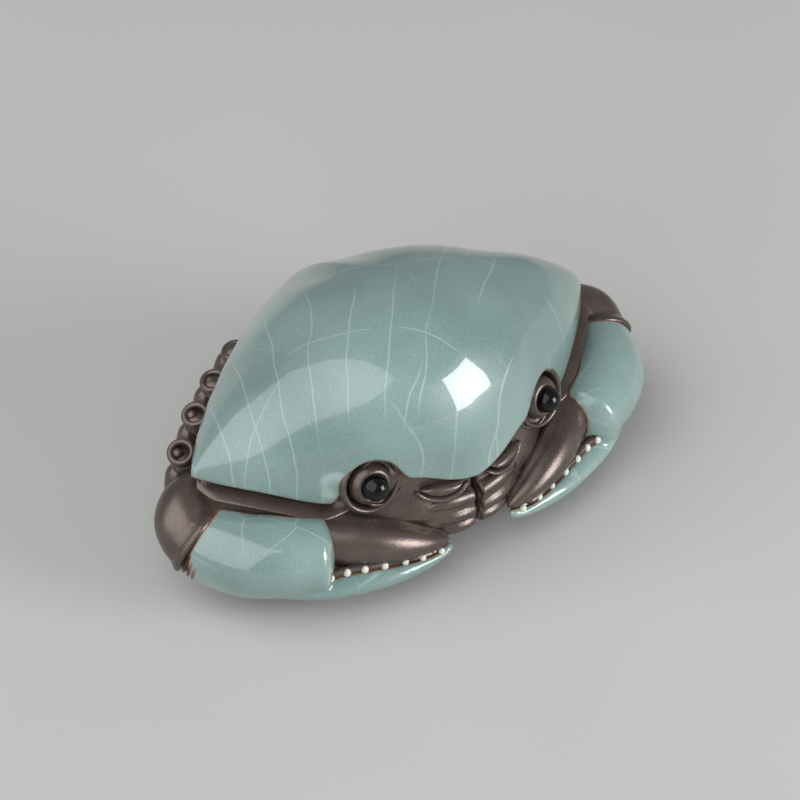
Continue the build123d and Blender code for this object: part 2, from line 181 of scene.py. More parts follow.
class Bench:
    """Adds primitives, shapes them and finishes them with modifiers."""

    @staticmethod
    def pick(*pieces: bpy.types.Object) -> None:
        """Selects only these objects, the first one active."""
        bpy.ops.object.select_all(action="DESELECT")
        for piece in pieces:
            piece.select_set(True)
        if pieces:
            bpy.context.view_layer.objects.active = pieces[0]

    @staticmethod
    def mould(name: str, grid: Grid) -> bpy.types.Object:
        """Adds a ball and moves its rings to the places of a grid.

        Args:
            name: the piece's name.
            grid: points in millimetres, as rings, segments and coordinates.
                The first and last ring are poles.

        Returns:
            The new object, with its place in its mesh.
        """
        rings, segments = grid.shape[0] - 1, grid.shape[1]
        Bench.pick()
        bpy.ops.mesh.primitive_uv_sphere_add(segments=segments, ring_count=rings, radius=1.0)
        piece = bpy.context.object
        piece.name = name
        piece.data.name = name
        points = np.empty(len(piece.data.vertices) * 3)
        piece.data.vertices.foreach_get("co", points)
        points = points.reshape(-1, 3)
        ring = np.rint(np.arccos(np.clip(points[:, 2], -1, 1)) / np.pi * rings).astype(int)
        angle = np.arctan2(points[:, 1], points[:, 0])
        segment = np.rint(angle / (2 * np.pi) * segments).astype(int) % segments
        segment[(ring == 0) | (ring == rings)] = 0
        piece.data.vertices.foreach_set("co", (grid[ring, segment] * MM).ravel())
        piece.data.update()
        Bench.face_outwards(piece)
        return piece

    @staticmethod
    def face_outwards(piece: bpy.types.Object) -> None:
        """Merges doubled points and turns all faces outwards."""
        Bench.pick(piece)
        bpy.ops.object.mode_set(mode="EDIT")
        bpy.ops.mesh.select_all(action="SELECT")
        bpy.ops.mesh.remove_doubles(threshold=1e-7)
        bpy.ops.mesh.normals_make_consistent(inside=False)
        bpy.ops.object.mode_set(mode="OBJECT")

    @staticmethod
    def apply(piece: bpy.types.Object, kind: str, **settings: object) -> None:
        """Adds a modifier with its settings and applies it."""
        modifier = piece.modifiers.new(kind.title(), kind)
        for key, value in settings.items():
            setattr(modifier, key, value)
        Bench.pick(piece)
        bpy.ops.object.modifier_apply(modifier=modifier.name)

    @staticmethod
    def cast(name: str, *grids: Grid) -> bpy.types.Object:
        """Moulds several forms and joins them into one piece."""
        forms = [Bench.mould(f"{name}_{k}", grid) for k, grid in enumerate(grids)]
        Bench.pick(*forms)
        bpy.ops.object.join()
        forms[0].name = name
        forms[0].data.name = name
        return forms[0]

    @staticmethod
    def knead(piece: bpy.types.Object, grain: float, rounds: int) -> None:
        """Melts joined forms into one skin, as wet clay or thick glaze does.

        Args:
            piece: object of overlapping closed forms.
            grain: cell size of the new skin in millimetres.
            rounds: how often the skin is smoothed.
        """
        Bench.apply(piece, "REMESH", mode="VOXEL", voxel_size=grain * MM, adaptivity=0.0)
        Bench.apply(piece, "SMOOTH", factor=0.5, iterations=rounds)

    @staticmethod
    def mirrored(piece: bpy.types.Object, name: str) -> bpy.types.Object:
        """Copies a piece to the other side, with a mesh of its own."""
        copy = piece.copy()
        copy.data = piece.data.copy()
        copy.name = name
        copy.data.name = name
        bpy.context.collection.objects.link(copy)
        copy.data.transform(Matrix.Diagonal((-1, 1, 1, 1)))
        copy.data.flip_normals()
        return copy

    @staticmethod
    def points(piece: bpy.types.Object) -> np.ndarray:
        """Places of a piece's points in millimetres."""
        flat = np.empty(len(piece.data.vertices) * 3)
        piece.data.vertices.foreach_get("co", flat)
        return flat.reshape(-1, 3) / MM

    @staticmethod
    def distance(piece: bpy.types.Object, places: np.ndarray) -> np.ndarray:
        """Distance in millimetres from each point of a piece to the nearest of some places."""
        tree = KDTree(len(places))
        for index, place in enumerate(places):
            tree.insert(place, index)
        tree.balance()
        return np.array([tree.find(point)[2] for point in Bench.points(piece)])

    @staticmethod
    def groove(piece: bpy.types.Object, away: np.ndarray, width: float, depth: float) -> None:
        """Presses a groove into a piece along a line.

        Args:
            piece: the piece.
            away: distance of each of its points from the line.
            width: half width of the groove in millimetres.
            depth: its depth in millimetres.
        """
        normals = np.empty(len(piece.data.vertices) * 3)
        piece.data.vertices.foreach_get("normal", normals)
        press = depth * np.exp(-((away / width) ** 2))
        moved = Bench.points(piece) - normals.reshape(-1, 3) * press[:, None]
        piece.data.vertices.foreach_set("co", (moved * MM).ravel())
        piece.data.update()

    @staticmethod
    def thin(piece: bpy.types.Object, near: np.ndarray, reach: float) -> None:
        """Marks where glaze runs thin, from distances that fade over a reach."""
        attribute = piece.data.attributes.new(THIN_GLAZE, "FLOAT", "POINT")
        attribute.data.foreach_set("value", (1 - ease(near, 0.2 * reach, reach)).astype(np.float32))


def settle(piece: bpy.types.Object, nodes: Sequence[str], finish: bpy.types.Material) -> None:
    """Gives a finished piece its material and body, and hides the solids that it stands for.

    Args:
        piece: the finished piece.
        nodes: solids that it stands for.
        finish: its material.
    """
    Bench.pick(piece)
    bpy.ops.object.shade_smooth()
    piece.data.materials.clear()
    piece.data.materials.append(finish)
    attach(piece, "root")
    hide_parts(*nodes)
    LOG.info("%s stands for %s, %d faces", piece.name, ", ".join(nodes), len(piece.data.polygons))


# Shader maths

class Wire:
    """A shader socket that Python's arithmetic extends with Math nodes."""

    def __init__(self, paint: "Paint", socket: bpy.types.NodeSocket) -> None:
        """Wraps one output socket."""
        self.paint = paint
        self.socket = socket

    def math(self, operation: str, *others: object) -> "Wire":
        """Adds a Math node on this value and others."""
        values = dict(enumerate((self, *others)))
        made = self.paint.node("ShaderNodeMath", {"operation": operation}, values)
        return Wire(self.paint, made.outputs[0])

    def __add__(self, other: object) -> "Wire":
        """Sum."""
        return self.math("ADD", other)

    __radd__ = __add__

    def __mul__(self, other: object) -> "Wire":
        """Product."""
        return self.math("MULTIPLY", other)

    def __sub__(self, other: object) -> "Wire":
        """Difference."""
        return self.math("SUBTRACT", other)

    def __rsub__(self, other: float) -> "Wire":
        """Difference from a number."""
        return self * -1 + other

    def __truediv__(self, other: object) -> "Wire":
        """Quotient."""
        return self.math("DIVIDE", other)

    def __abs__(self) -> "Wire":
        """Size without sign."""
        return self.math("ABSOLUTE")

    def step(self, low: float, high: float) -> "Wire":
        """Goes smoothly from 0 at low to 1 at high."""
        settings = {"interpolation_type": "SMOOTHSTEP"}
        inputs = {"Value": self, "From Min": low, "From Max": high}
        return Wire(self.paint, self.paint.node("ShaderNodeMapRange", settings, inputs).outputs[0])


class Paint:
    """A node material under construction, with its principled shader."""

    def __init__(self, name: str, **shader: object) -> None:
        """Starts a material and sets the shader's constant sockets."""
        self.material = bpy.data.materials.new(name)
        self.material.use_nodes = True
        self.tree = self.material.node_tree
        self.tree.nodes.clear()
        named = {key.replace("_", " ").title().replace("Ior", "IOR"): value for key, value in shader.items()}
        self.shader = self.node("ShaderNodeBsdfPrincipled", {}, named)
        self.node("ShaderNodeOutputMaterial", {}, {"Surface": self.shader.outputs[0]})
        where = self.node("ShaderNodeTexCoord").outputs["Object"]
        self.place = self.node("ShaderNodeMapping", {}, {"Vector": where, "Scale": (1 / MM,) * 3}).outputs[0]

    def node(self, kind: str, settings: Optional[dict] = None,
             inputs: Optional[dict] = None) -> bpy.types.Node:
        """Adds a node.

        Args:
            kind: Blender's name of the node's type.
            settings: properties, set first.
            inputs: values or links by socket name or number.

        Returns:
            The new node.
        """
        made = self.tree.nodes.new(kind)
        for key, value in (settings or {}).items():
            setattr(made, key, value)
        for key, value in (inputs or {}).items():
            value = value.socket if isinstance(value, Wire) else value
            if isinstance(value, bpy.types.NodeSocket):
                self.tree.links.new(value, made.inputs[key])
            else:
                made.inputs[key].default_value = value
        return made

    def noise(self, size: float, detail: float = 2.0, place: Optional[bpy.types.NodeSocket] = None) -> Wire:
        """Noise whose lumps are about a size in millimetres."""
        inputs = {"Vector": place or self.place, "Scale": 1 / size, "Detail": detail}
        return Wire(self, self.node("ShaderNodeTexNoise", {}, inputs).outputs["Fac"])

    def warped(self, size: float, amount: float) -> bpy.types.NodeSocket:
        """Places pushed about by noise, so that lines wander.

        Args:
            size: size of the wandering in millimetres.
            amount: how far a place is pushed, in millimetres.

        Returns:
            The socket of the pushed places.
        """
        push = self.node("ShaderNodeTexNoise", {}, {"Vector": self.place, "Scale": 1 / size}).outputs["Color"]
        inputs = {0: push, 1: (amount,) * 3, 2: (-amount / 2,) * 3}
        scaled = self.node("ShaderNodeVectorMath", {"operation": "MULTIPLY_ADD"}, inputs)
        inputs = {0: self.place, 1: scaled.outputs[0]}
        return self.node("ShaderNodeVectorMath", {"operation": "ADD"}, inputs).outputs[0]

    def mix(self, share: object, first: object, second: object) -> bpy.types.NodeSocket:
        """Colour between two colours."""
        inputs = {0: share, 6: first, 7: second}
        return self.node("ShaderNodeMix", {"data_type": "RGBA"}, inputs).outputs[2]

    def finish(self, colour: object, roughness: object, height: Wire, depth: float) -> bpy.types.Material:
        """Links what varies to the shader.

        Args:
            colour: base colour.
            roughness: roughness.
            height: height of the fine relief, from 0 to 1.
            depth: depth of that relief in millimetres.

        Returns:
            The finished material.
        """
        inputs = {"Strength": 1.0, "Distance": depth * MM, "Height": height}
        bump = self.node("ShaderNodeBump", {}, inputs)
        for key, value in (("Base Color", colour), ("Roughness", roughness), ("Normal", bump.outputs[0])):
            socket = value.socket if isinstance(value, Wire) else value
            self.tree.links.new(socket, self.shader.inputs[key])
        return self.material


def tone(red: int, green: int, blue: int) -> tuple[float, float, float, float]:
    """Linear colour from display values of 0 to 255."""
    shares = [c / 255 for c in (red, green, blue)]
    return (*(c / 12.92 if c <= 0.04045 else ((c + 0.055) / 1.055) ** 2.4 for c in shares), 1.0)


@dataclass(frozen=True)
class CeladonGlaze:
    """Clear blue-green glaze with long crackle lines, brown where it runs thin."""

    name: str
    fan: bool
    deep: tuple = tone(98, 122, 119)
    pale: tuple = tone(134, 159, 154)
    crack: tuple = tone(172, 194, 188)
    iron: tuple = tone(142, 92, 50)
    bare: tuple = tone(84, 66, 56)
    fan_centre: tuple = (-34.0, -40.0)
    fan_lines: float = 11.0
    arc_step: float = 11.0
    cell: float = 13.0
    line: float = 0.12
    core: float = 0.02
    wander_size: float = 18.0
    wander_reach: float = 4.5

    def lines(self, paint: Paint) -> Wire:
        """Crackle lines: long fanned ones on the shell, and a net of cells."""
        wander = paint.warped(self.wander_size, self.wander_reach)
        inputs = {"Vector": wander, "Scale": 1 / self.cell}
        kind = {"feature": "DISTANCE_TO_EDGE", "voronoi_dimensions": "2D" if self.fan else "3D"}
        net = paint.node("ShaderNodeTexVoronoi", kind, inputs)
        gap = Wire(paint, net.outputs["Distance"]) * self.cell
        seen = paint.noise(11.0, 1.0).step(0.46, 0.6)
        cracks = (1 - gap.step(self.core, self.line)) * seen
        if not self.fan:
            return cracks
        parts = paint.node("ShaderNodeSeparateXYZ", {}, {0: wander})
        across = Wire(paint, parts.outputs[0]) - self.fan_centre[0]
        back = Wire(paint, parts.outputs[1]) - self.fan_centre[1]
        far = (across * across + back * back).math("SQRT")
        spoke = across.math("ARCTAN2", back) * self.fan_lines
        spoke_gap = abs(spoke - spoke.math("ROUND")) * far / self.fan_lines
        arc = far / self.arc_step
        arc_gap = abs(arc - arc.math("ROUND")) * self.arc_step
        spokes = (1 - spoke_gap.step(self.core, self.line)) * paint.noise(16.0, 0.0).step(0.36, 0.5)
        arcs = (1 - arc_gap.step(self.core, self.line)) * paint.noise(8.0, 0.0).step(0.5, 0.58)
        return cracks.math("MAXIMUM", spokes.math("MAXIMUM", arcs))

    def material(self) -> bpy.types.Material:
        """Builds the glaze."""
        paint = Paint(self.name, coat_weight=1.0, coat_roughness=0.025, coat_ior=1.5, ior=1.45)
        pool = paint.noise(14.0, 2.0).step(0.3, 0.7)
        speckle = paint.noise(0.2, 4.0)
        colour = paint.mix(pool * 0.55 + speckle * 1.1 - 0.35, self.deep, self.pale)
        cracks = self.lines(paint)
        colour = paint.mix(cracks * 0.42, colour, self.crack)
        thin = Wire(paint, paint.node("ShaderNodeAttribute", {"attribute_name": THIN_GLAZE}).outputs["Fac"])
        edge = thin + (paint.noise(0.8, 3.0) - 0.5) * 0.35
        colour = paint.mix(edge.step(0.3, 0.75), colour, self.iron)
        colour = paint.mix(edge.step(0.8, 0.95), colour, self.bare)
        relief = paint.noise(7.0, 1.0) * 0.75 + speckle * 0.02 - cracks * 0.08
        return paint.finish(colour, 0.24 + speckle * 0.12, relief, 0.16)


@dataclass(frozen=True)
class BareClay:
    """Dark satin stoneware with a fine sandy grain."""

    name: str = "bare_clay"
    dark: tuple = tone(46, 37, 34)
    light: tuple = tone(128, 113, 106)

    def material(self) -> bpy.types.Material:
        """Builds the clay."""
        paint = Paint(self.name, specular_ior_level=0.8, metallic=0.6)
        cloud = paint.noise(3.5, 4.0)
        grain = paint.noise(0.16, 3.0)
        shade = cloud * 0.6 + grain * 0.5 - 0.12
        colour = paint.mix(shade, self.dark, self.light)
        roughness = 0.17 + grain * 0.22
        return paint.finish(colour, roughness, grain * 0.6 + cloud * 0.4, 0.035)


@dataclass(frozen=True)
class GlossGlaze:
    """Thick single-colour glaze on small beads."""

    name: str
    low: tuple
    high: tuple
    lump: float

    def material(self) -> bpy.types.Material:
        """Builds the bead glaze."""
        paint = Paint(self.name, specular_ior_level=0.3)
        cloud = paint.noise(self.lump, 2.0)
        colour = paint.mix(cloud, self.low, self.high)
        return paint.finish(colour, 0.03 + cloud * 0.05, cloud, 0.01)


@dataclass
class Finishes:
    """The figurine's materials."""

    shell: bpy.types.Material
    claw: bpy.types.Material
    clay: bpy.types.Material
    black: bpy.types.Material
    tooth: bpy.types.Material

    @classmethod
    def make(cls) -> "Finishes":
        """Builds every finish once."""
        return cls(
            shell=CeladonGlaze("shell_celadon", True).material(),
            claw=CeladonGlaze("claw_celadon", False, cell=6.5).material(),
            clay=BareClay().material(),
            black=GlossGlaze("bead_black", tone(6, 6, 8), tone(16, 16, 19), 1.5).material(),
            tooth=GlossGlaze("tooth_pale", tone(190, 192, 178), tone(228, 230, 220), 0.7).material(),
        )


# The figurine's sub-assemblies

@dataclass
class ShellForm:
    """The dome's plan and heights, in millimetres."""

    half_width: float
    front_y: float
    rear_y: float
    front_z: float
    crown_z: float
    corner_y: float = -1.5
    corner_z: float = 16.0
    crown_y: float = -3.0
    front_plan: tuple = (1.6, 1.25)
    rear_plan: tuple = (1.35, 1.15)
    crown_plan: tuple = (1.65, 1.35)
    brow: float = 0.83
    slope: float = 1.25
    edge_rise: float = 1.3
    swell_room: float = 0.35
    brows: tuple = ((8.0, 4.2, 1.9), (16.0, 5.0, -1.35))

    @classmethod
    def from_frame(cls) -> "ShellForm":
        """Reads the dome's reach from its solid."""
        low, high = (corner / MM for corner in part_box("carapace"))
        crown_z = high.z - cls.swell_room
        return cls(half_width=high.x, front_y=low.y, rear_y=high.y, front_z=low.z, crown_z=crown_z)

    @staticmethod
    def left_over(t: np.ndarray, spread: float, crest: float) -> np.ndarray:
        """Share of the full depth that is left at a share t of the half width."""
        return np.maximum(0, 1 - np.abs(t) ** spread) ** (1 / crest)

    def front_edge(self, x: float) -> tuple[float, float]:
        """Y and Z of the front edge at x."""
        t = np.minimum(1, np.abs(x) / self.half_width)
        y = self.corner_y + (self.front_y - self.corner_y) * self.left_over(t, *self.front_plan)
        z = self.front_z + (self.corner_z - self.front_z) * t**self.edge_rise
        for place, width, rise in self.brows:
            z = z + rise * np.exp(-(((np.abs(x) - place) / width) ** 2))
        return y, z

    def rear_edge(self, x: float) -> float:
        """Y of the rear edge at x."""
        t = np.minimum(1, np.abs(x) / self.half_width)
        return self.corner_y + (self.rear_y - self.corner_y) * self.left_over(t, *self.rear_plan)

    def margin(self, segments: int) -> np.ndarray:
        """Edge points all round, from the left corner by way of the rear."""
        turn = turns(segments)
        x = self.half_width * np.cos(turn)
        front_y, front_z = self.front_edge(x)
        rear = np.sin(turn) > 0
        y = np.where(rear, self.rear_edge(x), front_y)
        return np.stack([x, y, np.where(rear, self.corner_z, front_z)], 1)

    def height(self, x: np.ndarray, y: np.ndarray) -> np.ndarray:
        """Height of the plain dome over the plan."""
        t = np.minimum(1, np.abs(x) / self.half_width)
        front_y, front_z = self.front_edge(x)
        crown_y = self.corner_y + (self.crown_y - self.corner_y) * (1 - t**2)
        crown_z = self.corner_z + (self.crown_z - self.corner_z) * self.left_over(t, *self.crown_plan)
        ahead = y < crown_y
        reach = np.where(ahead, front_y - crown_y, self.rear_edge(x) - crown_y)
        share = np.clip((y - crown_y) / np.where(np.abs(reach) < 1e-6, 1e-6, reach), 0, 1)
        curve = np.where(ahead, self.brow, self.slope)
        edge_z = np.where(ahead, front_z, self.corner_z)
        return edge_z + (crown_z - edge_z) * (1 - share ** (2 / curve)) ** (curve / 2)


@dataclass
class Eye:
    """One eye on the crab's left: a ring in the shell's notch, a ball, a lid and a bead."""

    form: ShellForm
    x: float = 11.7
    behind_edge: float = 1.5
    above_edge: float = 0.45
    outward: float = 12.0
    upward: float = 14.0
    ring_radius: float = 3.65
    notch_radius: float = 3.62
    bead_radius: float = 1.5
    bead_set: float = 1.95
    lid_shift: float = 1.1
    lid_set: float = 0.55

    def centre(self) -> np.ndarray:
        """Middle of the eyeball."""
        y, z = self.form.front_edge(self.x)
        return np.array([self.x, y + self.behind_edge, z + self.above_edge])

    def gaze(self) -> np.ndarray:
        """Direction of the gaze."""
        out, up = math.radians(self.outward), math.radians(self.upward)
        return np.array([math.sin(out) * math.cos(up), -math.cos(out) * math.cos(up), math.sin(up)])

    def build(self, finishes: Finishes) -> None:
        """Models the left eye's pieces and mirrors them."""
        centre, gaze = self.centre(), self.gaze()
        r = self.ring_radius
        ring = turned_grid(centre, gaze, (
            (-3.1, 0), (-3.1, r - 0.5), (-2.0, r), (-0.4, r), (0.6, r + 0.02), (1.05, r - 0.2),
            (1.12, r - 0.48), (0.85, r - 0.72), (0.2, r - 0.84), (-0.6, r - 1.0), (-0.9, r - 2),
            (-0.9, 0)), 96, 96)
        lid_centre = centre + gaze * self.lid_set + np.array([-self.lid_shift, -self.lid_shift * 0.3, 0])
        lid = turned_grid(lid_centre, gaze, (
            (-0.9, 0), (-0.9, 2.4), (-0.5, 3.0), (0.0, 3.12), (0.32, 2.98), (0.32, 2.74), (0.0, 2.6),
            (-0.1, 1.5), (-0.1, 0)))
        socket = Bench.cast("left_eye_ring", ring, lid)
        ball = Bench.mould("left_eye_ball", turned_grid(centre, gaze, (
            (-2.4, 0), (-2.0, 1.6), (-1.0, 2.35), (0.2, 2.55), (1.0, 2.42), (1.55, 2.08), (1.78, 1.75),
            (1.72, 1.5), (1.5, 1.2), (1.45, 0))))
        bead_grid = turned_grid(centre + gaze * self.bead_set, gaze, ball_profile(self.bead_radius, 13))
        bead = Bench.mould("left_eye_bead", bead_grid)
        for piece, node, slot, finish in (
                (socket, "eye_socket", Slot.CLAY, finishes.clay),
                (ball, "eyeball", Slot.CLAY, finishes.clay),
                (bead, "pupil", Slot.BLACK, finishes.black)):
            pair(piece, node, finish)


def pair(piece: bpy.types.Object, node: str, finish: bpy.types.Material) -> None:
    """Settles a left piece and its mirror image.

    Args:
        piece: piece on the crab's left, named with its side first.
        node: name of the solids without their side.
        finish: material of both.
    """
    other = Bench.mirrored(piece, piece.name.replace(Side.LEFT.value, Side.RIGHT.value, 1))
    settle(piece, [f"{Side.LEFT.value}_{node}"], finish)
    settle(other, [f"{Side.RIGHT.value}_{node}"], finish)


@dataclass
class Carapace:
    """The glazed back shell, with eye notches and a rolled edge."""

    form: ShellForm
    eye: Eye
    segments: int = 640
    dome_rows: int = 104
    lip_rows: int = 9
    lip_radius: float = 0.5
    lip_tuck: float = 1.2
    roof_rise: float = 3.0
    core_point: tuple = (0.0, 0.0, 8.0)
    thin_width: float = 0.4
    lobes: tuple = ((0.0, -8.0, 5.0, 6.0, 0.35), (9.5, 5.0, 6.0, 5.0, 0.5), (2.6, 9.0, 2.2, 5.0, -0.35),
                    (17.0, 6.0, 3.0, 5.0, -0.5), (19.0, -4.0, 4.0, 5.0, 0.35))

    def lobe_height(self, x: np.ndarray, y: np.ndarray) -> np.ndarray:
        """Swellings and dips of the shell's regions."""
        total = np.zeros_like(x)
        for at_x, at_y, wide, deep, rise in self.lobes:
            total += rise * np.exp(-(((np.abs(x) - at_x) / wide) ** 2) - ((y - at_y) / deep) ** 2)
        return total

    def dome(self, angle: np.ndarray, margin: np.ndarray, curve: np.ndarray) -> np.ndarray:
        """Points of the dome by angle from the crown, for each point of the margin."""
        share = np.sin(angle) ** curve
        x = share * margin[:, 0]
        y = self.form.crown_y + share * (margin[:, 1] - self.form.crown_y)
        fade = 1 - ease(share, 0.75, 1.0)
        return np.stack([x, y, self.form.height(x, y) + self.lobe_height(x, y) * fade], -1)

    def reach(self, margin: np.ndarray, curve: np.ndarray) -> np.ndarray:
        """Angle at which the dome ends, shorter where an eye's notch bites into it."""
        angles = np.linspace(np.pi / 4, np.pi / 2, 400)[:, None] * np.ones(len(margin))
        points = self.dome(angles, margin, curve)
        end = np.full(len(margin), np.pi / 2)
        for side in (1, -1):
            flip = np.array([side, 1, 1])
            away = points - self.eye.centre() * flip
            along = away @ (self.eye.gaze() * flip)
            across = np.linalg.norm(away - along[..., None] * self.eye.gaze() * flip, axis=-1)
            inside = (across < self.eye.notch_radius) & (along > -2)
            first = np.argmax(inside, axis=0)
            end = np.where(inside.any(0), np.minimum(end, angles[first, 0]), end)
        kernel = np.array([1, 2, 3, 2, 1]) / 9
        for _ in range(2):
            end = np.convolve(np.concatenate([end[-2:], end, end[:2]]), kernel, "valid")
        return end

    def build(self, finishes: Finishes) -> None:
        """Models the shell from its dome, lip and hidden underside."""
        margin = self.form.margin(self.segments)
        side = np.sin(turns(self.segments))
        curve = self.form.brow + (self.form.slope - self.form.brow) * ease(side, -0.35, 0.35)
        shares = np.linspace(0, 1, self.dome_rows + 1)[:, None]
        dome = self.dome(shares * self.reach(margin, curve), margin, curve)
        edge = dome[-1]
        tangent = unit(np.roll(edge, -1, 0) - np.roll(edge, 1, 0))
        outward = edge - dome[-4]
        outward = unit(outward - tangent * np.sum(outward * tangent, 1, keepdims=True))
        normal = unit(np.cross(tangent, outward))
        normal *= np.sign(np.sum(normal * (edge - np.array(self.core_point)), 1, keepdims=True))
        roll = np.linspace(0, np.pi, self.lip_rows + 1)[1:, None, None]
        lip = edge + self.lip_radius * (np.sin(roll) * outward + (np.cos(roll) - 1) * normal)
        under = lip[-1] - outward * self.lip_tuck
        middle = np.array([0, 0, self.form.corner_z + self.roof_rise])
        hidden = np.stack([under, middle + (under - middle) * 0.6, np.broadcast_to(middle, under.shape)])
        grid = np.concatenate([dome, lip, hidden])
        piece = Bench.mould("glazed_shell", grid)
        Bench.thin(piece, Bench.distance(piece, lip[self.lip_rows // 4:].reshape(-1, 3)), self.thin_width)
        settle(piece, ["carapace"], finishes.shell)


@dataclass
class LowerBody:
    """The clay body: gutter and ledge under the shell, face, tail hollow, belly and foot."""

    form: ShellForm
    segments: int = 960
    rows: int = 90
    foot_half_width: float = 17.0
    foot_front_y: float = -8.5
    foot_rear_y: float = 11.0
    slit_half_width: float = 0.36
    slit_depth: float = 2.0
    tail_half_width: float = 6.6
    tail_depth: float = 0.9
    ledge_span: tuple = (13.0, 17.5, 25.5, 28.2)
    ledge: tuple = ((0.4, -0.5), (0.9, -0.45), (1.3, 0.3), (1.6, 1.2), (1.8, 1.62), (1.95, 1.75), (2.1, 1.62),
                    (2.4, 1.2), (3.2, 0.95), (4.2, 0.7), (5.4, 0.3), (6.6, 0.0))

    def sections(self) -> list[tuple[float, float, float]]:
        """Rows of drop below the edge, inset and share of the foot's outline."""
        return [
            (-2.4, 4.0, 0), (-1.0, 2.0, 0), (0.0, 1.0, 0), (0.6, 0.9, 0), (1.2, 0.88, 0), (1.7, 0.86, 0),
            (2.2, 0.84, 0), (2.9, 0.65, 0), (3.8, 0.35, 0), (5.0, 0.0, 0), (6.4, 0.0, 0), (7.6, 0.6, 0.05),
            (9.2, 2.4, 0.3), (11.0, 2.2, 0.75), (12.4, 0.6, 0.98), (12.6, 0.1, 1),
        ]

    def build(self, finishes: Finishes) -> bpy.types.Object:
        """Models the body round its rows."""
        margin = self.form.margin(self.segments)
        turn = turns(self.segments)
        plan = margin[:, :2]
        along = unit(np.roll(plan, -1, 0) - np.roll(plan, 1, 0))
        out = np.stack([along[:, 1], -along[:, 0]], 1)
        foot_reach = np.where(np.sin(turn) > 0, self.foot_rear_y, self.foot_front_y) - self.form.corner_y
        foot_y = self.form.corner_y + foot_reach * np.abs(np.sin(turn))
        foot = np.stack([self.foot_half_width * np.cos(turn), foot_y], 1)
        line = smooth_path(self.sections(), np.linspace(0, 1, self.rows - 1))
        drop, inset, share = (line[:, k][:, None] for k in range(3))
        front = ease(-np.sin(turn), 0.02, 0.12)
        x = np.abs(margin[:, 0])
        a, b, c, d = self.ledge_span
        shelf = front * ease(x, a, b) * (1 - ease(x, c, d))
        ledge = np.interp(drop, *zip(*self.ledge))
        slit = front * np.exp(-((margin[:, 0] / self.slit_half_width) ** 4)) * self.slit_depth
        slit = slit * ease(drop, -0.5, 0.3) * (1 - ease(drop, 6.4, 7.6))
        tail = (1 - front) * np.exp(-((x / self.tail_half_width) ** 6)) * self.tail_depth
        tail = tail * ease(drop, 1.5, 3.0)
        push = ledge * shelf - inset - slit - tail
        last_drop = self.sections()[-1][0]
        level = np.clip(drop / last_drop, None, 1)
        z = margin[:, 2] - drop - (margin[:, 2] - last_drop) * ease(level, 0.45, 1.0)
        xy = (plan + out * push[..., None]) * (1 - share[..., None]) + foot * share[..., None]
        rings = np.concatenate([xy, z[..., None]], -1)
        top = np.broadcast_to(np.array([0, 0, self.form.corner_z + 2.5]), rings[:1].shape)
        base = np.broadcast_to(np.array([0, 1.0, 0.0]), rings[:1].shape)
        rings[-1, :, 2] = 0
        piece = Bench.mould("clay_body", np.concatenate([top, rings, base]))
        settle(piece, ["body"], finishes.clay)
        return piece


@dataclass
class Face:
    """Feeler leaves and mouth folds between the eyes."""

    leaf_ends: tuple = (0.1, 0.1)
    fold_ends: tuple = (0.25, 0.015)

    def build(self, finishes: Finishes) -> None:
        """Models the left half of the face and mirrors it."""
        leaf = limb_grid([
            (6.7, -15.75, 12.45, 0.25, 0.12), (5.6, -16.25, 12.2, 0.7, 0.55), (4.2, -16.65, 12.0, 0.85, 0.72),
            (2.9, -16.95, 12.1, 0.75, 0.5), (1.9, -17.0, 12.4, 0.3, 0.12)], ends=self.leaf_ends)
        lower_rim = limb_grid([
            (7.3, -15.6, 12.3, 0.3, 0.25), (6.2, -16.15, 11.35, 0.5, 0.32), (4.4, -16.85, 10.85, 0.6, 0.36),
            (2.6, -17.25, 11.2, 0.5, 0.3), (1.3, -17.2, 12.0, 0.3, 0.2)], ends=self.leaf_ends)
        plate = Bench.cast("left_feeler_leaf", leaf, lower_rim)
        pair(plate, "antenna_plate", finishes.clay)
        folds = (
            [(7.4, -15.0, 9.3, 0.5, 0.3), (5.2, -16.1, 9.75, 0.85, 0.75), (3.0, -16.7, 9.75, 1.0, 0.95),
             (0.45, -16.85, 9.4, 0.95, 0.9)],
            [(6.4, -15.4, 7.2, 0.5, 0.35), (4.4, -16.4, 7.75, 0.95, 0.8), (2.4, -16.9, 7.75, 1.1, 0.95),
             (0.45, -16.95, 7.5, 0.95, 0.9)],
            [(5.4, -15.6, 5.5, 0.7, 0.5), (3.6, -16.3, 5.9, 1.1, 0.9), (1.9, -16.7, 6.0, 1.2, 0.95),
             (0.45, -16.75, 5.95, 1.0, 0.9)],
            [(7.6, -14.7, 8.2, 1.0, 1.8), (4.8, -15.95, 8.1, 1.1, 2.4), (2.5, -16.5, 8.0, 1.1, 2.6),
             (0.45, -16.65, 8.0, 1.05, 2.6)],
        )
        mouth = Bench.cast("left_mouth_folds", *(limb_grid(fold, ends=self.fold_ends) for fold in folds))
        Bench.knead(mouth, 0.12, 5)
        pair(mouth, "mouth_plate", finishes.clay)


